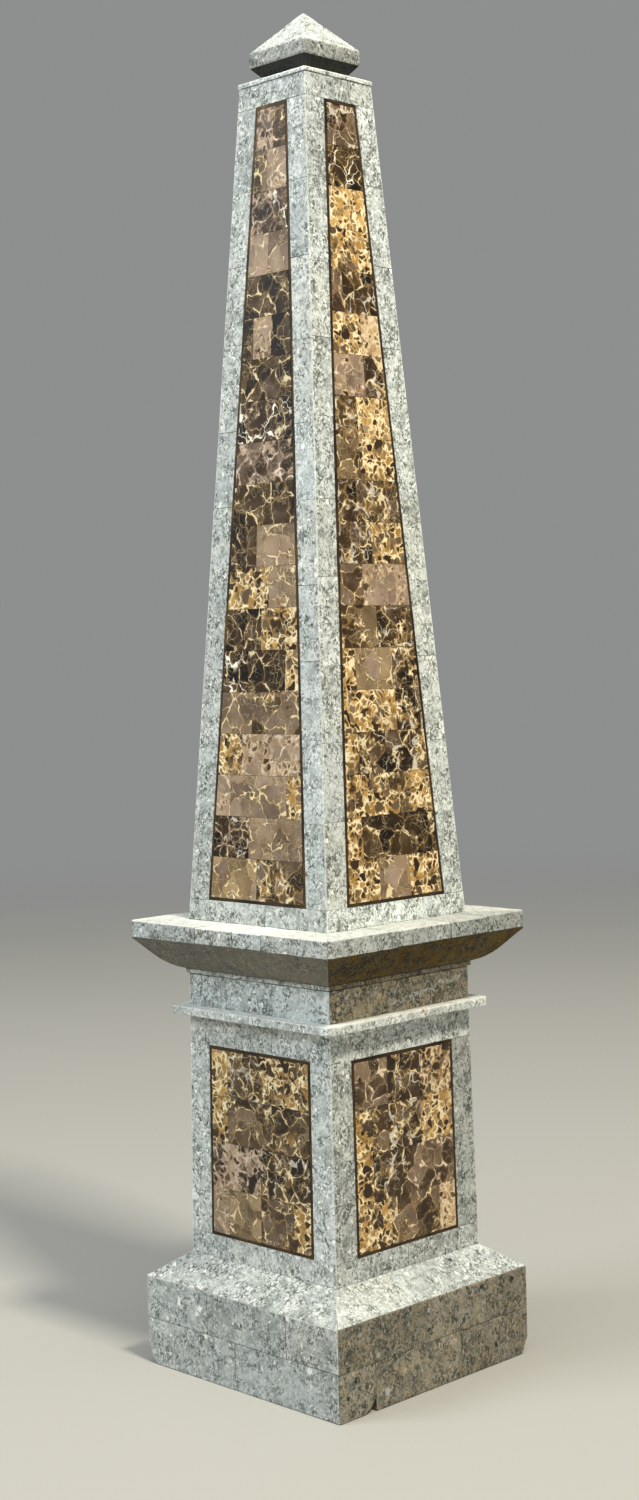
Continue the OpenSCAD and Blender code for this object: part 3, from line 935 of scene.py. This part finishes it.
def layMosaic(look, side, sideName):
    name = look["name"]
    node = name + "_panel_" + sideName
    half = halfWidthOf(name + "_frame_front")
    edge = halfWidthOf(name + "_panel_front")
    edgeLeft, edgeRight = mirrored(edge)
    low, high = levelsOf(node)
    thick = half(low) - boxOf(name + "_core")[1].x
    rows = look["rows"][sideName][::-1]
    rise = (high - low) / len(rows)
    dice = random.Random(look["seed"] * 10 + side + 8)
    tiles = newStones()
    for index, row in enumerate(rows):
        foot = low + rise * index
        section = slip(half, thick, foot, foot + rise, tileShape["gap"])
        middle = edge(foot + rise / 2)
        stop = 0
        for letter, run in groupby(row):
            start = stop
            stop += len(list(run))
            leftEnd = edgeLeft if start == 0 else flat(middle * (2 * start / len(row) - 1))
            rightEnd = edgeRight if stop == len(row) else flat(middle * (2 * stop / len(row) - 1))
            light, paste, kind = tileKinds[letter]
            light += look["tileLight"] + dice.uniform(-tileShape["lightSpread"], tileShape["lightSpread"])
            paste += dice.uniform(-tileShape["pasteSpread"], tileShape["pasteSpread"])
            addStone(tiles, side, section, leftEnd, rightEnd, dice, (light, paste, kind), tileShape)
    finishPiece(tiles, name + "_mosaic_" + sideName, "brown_marble", [node])


for look in (die, shaft):
    for side, sideName in enumerate(sides):
        layFrame(look, side, sideName)
        layBrass(look, side, sideName)
        layMosaic(look, side, sideName)
    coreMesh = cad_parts[look["name"] + "_core"].data
    coreMesh.materials.clear()
    coreMesh.materials.append(finishes["core_board"])
    print(look["name"], "laid")


# Neck and cornice

fillet = {
    "seed": 71, "gap": 0.04, "bevel": 0.5, "rounds": 2, "nick": 0.45, "cutEvery": 6, "inner": 40,
    # partly painted light: the fillet's stones are made lighter than the rest, for the light that its top
    # catches
    "light": (0.24, 0.38), "warm": (0.0, 0.15), "specks": (-0.1, 0.2),
    "joints": {"front": [1.3], "right": [-4, 40], "back": [16], "left": [-30]},
}
neck = {
    "seed": 72, "gap": 0.08, "bevel": 0.3, "rounds": 1, "nick": 0.15, "cutEvery": 9, "inner": 40,
    "light": (0.14, 0.24), "warm": (0.0, 0.1), "specks": (0.3, 0.6),
    # painted shade: the right side is made darker and warmer, for the cornice's shade on it
    "sidePaintedLight": {"right": -0.3}, "sidePaintedWarmth": {"right": 0.9}, "sideSpecks": {"right": 1.2},
    "joints": {"front": [], "right": [], "back": [], "left": []},
}
# painted shade: the bed's right side is made much darker, for the soffit's shade on it
bed = dict(neck, seed=73, bevel=0.35, lift=0.6, sidePaintedLight={"right": -0.72},
           joints={"front": [-2.6], "right": [14], "back": [-10], "left": [22]})
# painted shade: every soffit stone is made very dark and warm, for the shade under the cornice, and the
# right side darker still
soffit = dict(neck, seed=74, light=(-0.73, -0.67), warm=(0.6, 0.8), specks=(-0.3, -0.2), bevel=0.3,
              bulge=2.4, steps=10, gap=0.04,
              sidePaintedLight={"right": -0.14}, sidePaintedWarmth={"right": 1.6}, sideSpecks={"right": 1.8},
              joints={"front": [-1], "right": [26], "back": [0], "left": [-20]})
slab = dict(fillet, seed=75, bevel=0.8, rounds=3, nick=0.6, light=(-0.12, 0.06), specks=(0.8, 1.1),
            # painted shade: the slab's right side is made a little darker
            sidePaintedLight={"right": -0.18},
            joints={"front": [-26.2, 7.4, 32.5], "right": [-30, 18, 52], "back": [-44, 4, 40],
                    "left": [-10, 30]})
plate = {
    "seed": 81, "gap": 0.1, "bevel": 0.5, "rounds": 2, "nick": 0.4, "cutEvery": 4, "inner": 8, "lift": 0.3,
    "light": (0.44, 0.54), "warm": (0.0, 0.1), "specks": (0.1, 0.4),
    "joints": {"front": [-6], "right": [], "back": [4], "left": []},
}


def withCorners(look, node):
    # the plan's corners are quarter rounds: their middle stands in from the corner by 0.29 of the radius
    wide = 2 * boxOf(node)[1].x
    reach = max((v.co.x + v.co.y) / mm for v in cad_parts[node].data.vertices)
    return dict(look, cornerRadius=(wide - reach) / (2 - math.sqrt(2)))


def layBand(name, look, node, openHead=0):
    # a course with upright faces; lift leaves a dark line below it
    low, high = boxOf(node)
    section = square(high.x, look["inner"], low.z + look.get("lift", 0), high.z)
    layCourse(name, look, section, [node], openHead)


def laySoffit():
    low, high = boxOf("cornice_soffit")
    footHalf = boxOf("bed_strip")[1].x
    run = high.x - footHalf
    rise = high.z - low.z
    chord = math.hypot(run, rise)
    section = [(soffit["inner"], low.z)]
    for i in range(soffit["steps"] + 1):
        t = i / soffit["steps"]
        swell = 6.75 * soffit["bulge"] * t * (1 - t) ** 2  # fullest a third of the way up
        z = low.z + rise * t - swell * run / chord
        section.append((footHalf + run * t + swell * rise / chord, max(z, low.z)))
    section.append((soffit["inner"], high.z))
    layCourse("soffit_stones", withCorners(soffit, "cornice_slab"), section, ["cornice_soffit"])


layBand("fillet_stones", withCorners(fillet, "fillet_slab"), "fillet_slab", 1)
layBand("neck_stones", neck, "neck_block")
layBand("bed_stones", bed, "bed_strip")
laySoffit()
layBand("slab_stones", withCorners(slab, "cornice_slab"), "cornice_slab", 1)
print("neck and cornice laid")
layBand("top_plate_stones", plate, "shaft_top_plate", 1)


# The cap stone

cap = {
    "seed": 91, "ridge": 1.1, "rounds": 3, "grain": 0.22, "pitch": 3.0,
    # the tone of each part, as for stones; the undercut's near-black tone is painted shade over a dark stain
    "pyramid": (-0.04, 0.1, 0.2), "band": (-0.3, 0.2, 0.8), "undercut": (-0.965, 0.2, 0.5),
}


def carveCap():
    # one block: a square drawn up and out, up the band, then in to the blunt tip
    points = [v.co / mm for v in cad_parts["cap_stone"].data.vertices]
    levels = sorted({round(p.z, 2) for p in points})
    halves = [max(p.x for p in points if abs(p.z - z) < 0.05) for z in levels]
    foot, bandLow, bandHigh = levels[:3]
    block = newStones()
    bmesh.ops.create_grid(block, x_segments=1, y_segments=1, size=halves[0])
    bmesh.ops.translate(block, vec=(0, 0, foot), verts=block.verts[:])
    top = block.faces[:]
    for index in range(1, len(levels)):
        grown = bmesh.ops.extrude_face_region(block, geom=top)["geom"]
        ring = [g for g in grown if isinstance(g, bmesh.types.BMVert)]
        scale = halves[index] / halves[index - 1]
        bmesh.ops.scale(block, vec=(scale, scale, 1), verts=ring)
        bmesh.ops.translate(block, vec=(0, 0, levels[index] - levels[index - 1]), verts=ring)
        if index > 1:
            # leaves no floor inside
            bmesh.ops.delete(block, geom=[f for f in top if f.is_valid], context="FACES_ONLY")
        top = [g for g in grown if isinstance(g, bmesh.types.BMFace)]
    faceOutwards(block)
    bmesh.ops.bevel(block, geom=block.edges[:], offset=cap["ridge"], offset_type="OFFSET",
                    segments=cap["rounds"], profile=0.5, affect="EDGES", material=-1, clamp_overlap=True)
    # edges just below the band, so that the undercut's painted shade starts at its edge
    for below in (0.1, 0.5):
        cutAcross(block, (0, 0, bandLow - below), (0, 0, 1))
    half = max(halves)
    lines = int(half / cap["pitch"])
    for axis in range(3):
        for step in range(-lines, lines + 1):
            at = Vector((0, 0, foot + half / 2)) if axis == 2 else Vector((0, 0, 0))
            at[axis] += step * cap["pitch"]
            direction = Vector((0, 0, 0))
            direction[axis] = 1
            cutAcross(block, at, direction)
    bmesh.ops.triangulate(block, faces=[f for f in block.faces if len(f.verts) > 4])
    bmesh.ops.dissolve_degenerate(block, dist=tiny / 2, edges=block.edges[:])
    faceOutwards(block)
    block.normal_update()
    dice = random.Random(cap["seed"])
    seed = [dice.random() for axis in range(3)]
    inside = (9, 9, 9)  # no joint near, and no arris of a slip
    for v in block.verts:
        part = "undercut" if v.co.z < bandLow - 0.3 else "band" if v.co.z < bandHigh else "pyramid"
        writeLayers(block, v, (seed, cap[part], inside, inside, (0, 0, 0)))
    wearDown(block, cap["grain"], lambda co: noise.noise(co * 0.25) + 0.6 * noise.noise(co * 0.7) + 0.3)
    finishPiece(block, "cap_stone_carved", "grey_marble", ["cap_stone"])


carveCap()
print("plate and cap laid")


# Camera, lights and floor

# turned round +Z from in front of the front face, in degrees, and placed in metres
viewpoint = {"turn": 45.22, "pitch": -2.64, "roll": -1.52, "distance": 1.3253, "height": 0.4466,
             "aside": -0.002, "lens": 50.84}


def setCamera():
    turned = Matrix.Rotation(math.radians(viewpoint["turn"]), 4, "Z")
    tipped = Matrix.Rotation(math.radians(90 + viewpoint["pitch"]), 4, "X")
    rolled = Matrix.Rotation(math.radians(viewpoint["roll"]), 4, "Z")
    place = Matrix.Translation((viewpoint["aside"], -viewpoint["distance"], viewpoint["height"]))
    data = bpy.data.cameras.new("camera")
    data.lens = viewpoint["lens"]
    data.clip_start = 0.05
    camera = bpy.data.objects.new("camera", data)
    camera.matrix_world = turned @ place @ tipped @ rolled
    bpy.context.scene.collection.objects.link(camera)
    bpy.context.scene.camera = camera


lights = [
    # name, place, size, watts, colour
    ("window", (-1.2, -2.4, 2.2), 1.5, 67, (0.84, 0.93, 1.0)),
    ("lamp", (1.9, -0.35, 3.4), 0.45, 145, (1.0, 0.95, 0.8)),
    ("sky", (0.25, -0.25, 2.2), 1.0, 19, (1.0, 1.0, 0.95)),
]
aim = Vector((0, 0, 0.38))


def setLights():
    for name, place, size, watts, tint in lights:
        data = bpy.data.lights.new(name, "AREA")
        data.shape = "SQUARE"
        data.size = size
        data.energy = watts
        data.color = tint
        lamp = bpy.data.objects.new(name, data)
        lamp.location = place
        lamp.rotation_mode = "QUATERNION"
        lamp.rotation_quaternion = (Vector(place) - aim).to_track_quat("Z", "Y")
        bpy.context.scene.collection.objects.link(lamp)


room = {"wall": (0.9, 0.92, 0.92, 1), "strength": 0.3, "floor": shade("a3a19b"), "radius": 4.0, "clear": 1.1,
        "drop": 0.0002}


def setRoom():
    world = bpy.data.worlds.new("studio")
    world.use_nodes = True
    background = world.node_tree.nodes["Background"]
    background.inputs["Color"].default_value = room["wall"]
    background.inputs["Strength"].default_value = room["strength"]
    bpy.context.scene.world = world
    finish = Finish("floor")
    place = finish.node("ShaderNodeTexCoord", {}, {}, "Object")
    away = finish.node("ShaderNodeVectorMath", {"operation": "LENGTH"}, {0: place}, "Value")
    alpha = 1 - away.rise(room["clear"], room["radius"] * 0.9)
    material = finish.surface({"Base Color": room["floor"],
                               "Roughness": 0.75 + finish.noise(place, 0.3) * 0.1,
                               "Alpha": alpha})
    sheet = bmesh.new()
    bmesh.ops.create_circle(sheet, cap_ends=True, segments=96, radius=room["radius"])
    bmesh.ops.translate(sheet, vec=(0, 0, -room["drop"]), verts=sheet.verts[:])
    mesh = bpy.data.meshes.new("floor")
    sheet.to_mesh(mesh)
    sheet.free()
    mesh.materials.append(material)
    floor = bpy.data.objects.new("floor", mesh)
    bpy.context.scene.collection.objects.link(floor)


setCamera()
setLights()
setRoom()
bpy.context.scene.view_settings.view_transform = "Standard"
print("camera, lights and floor set")
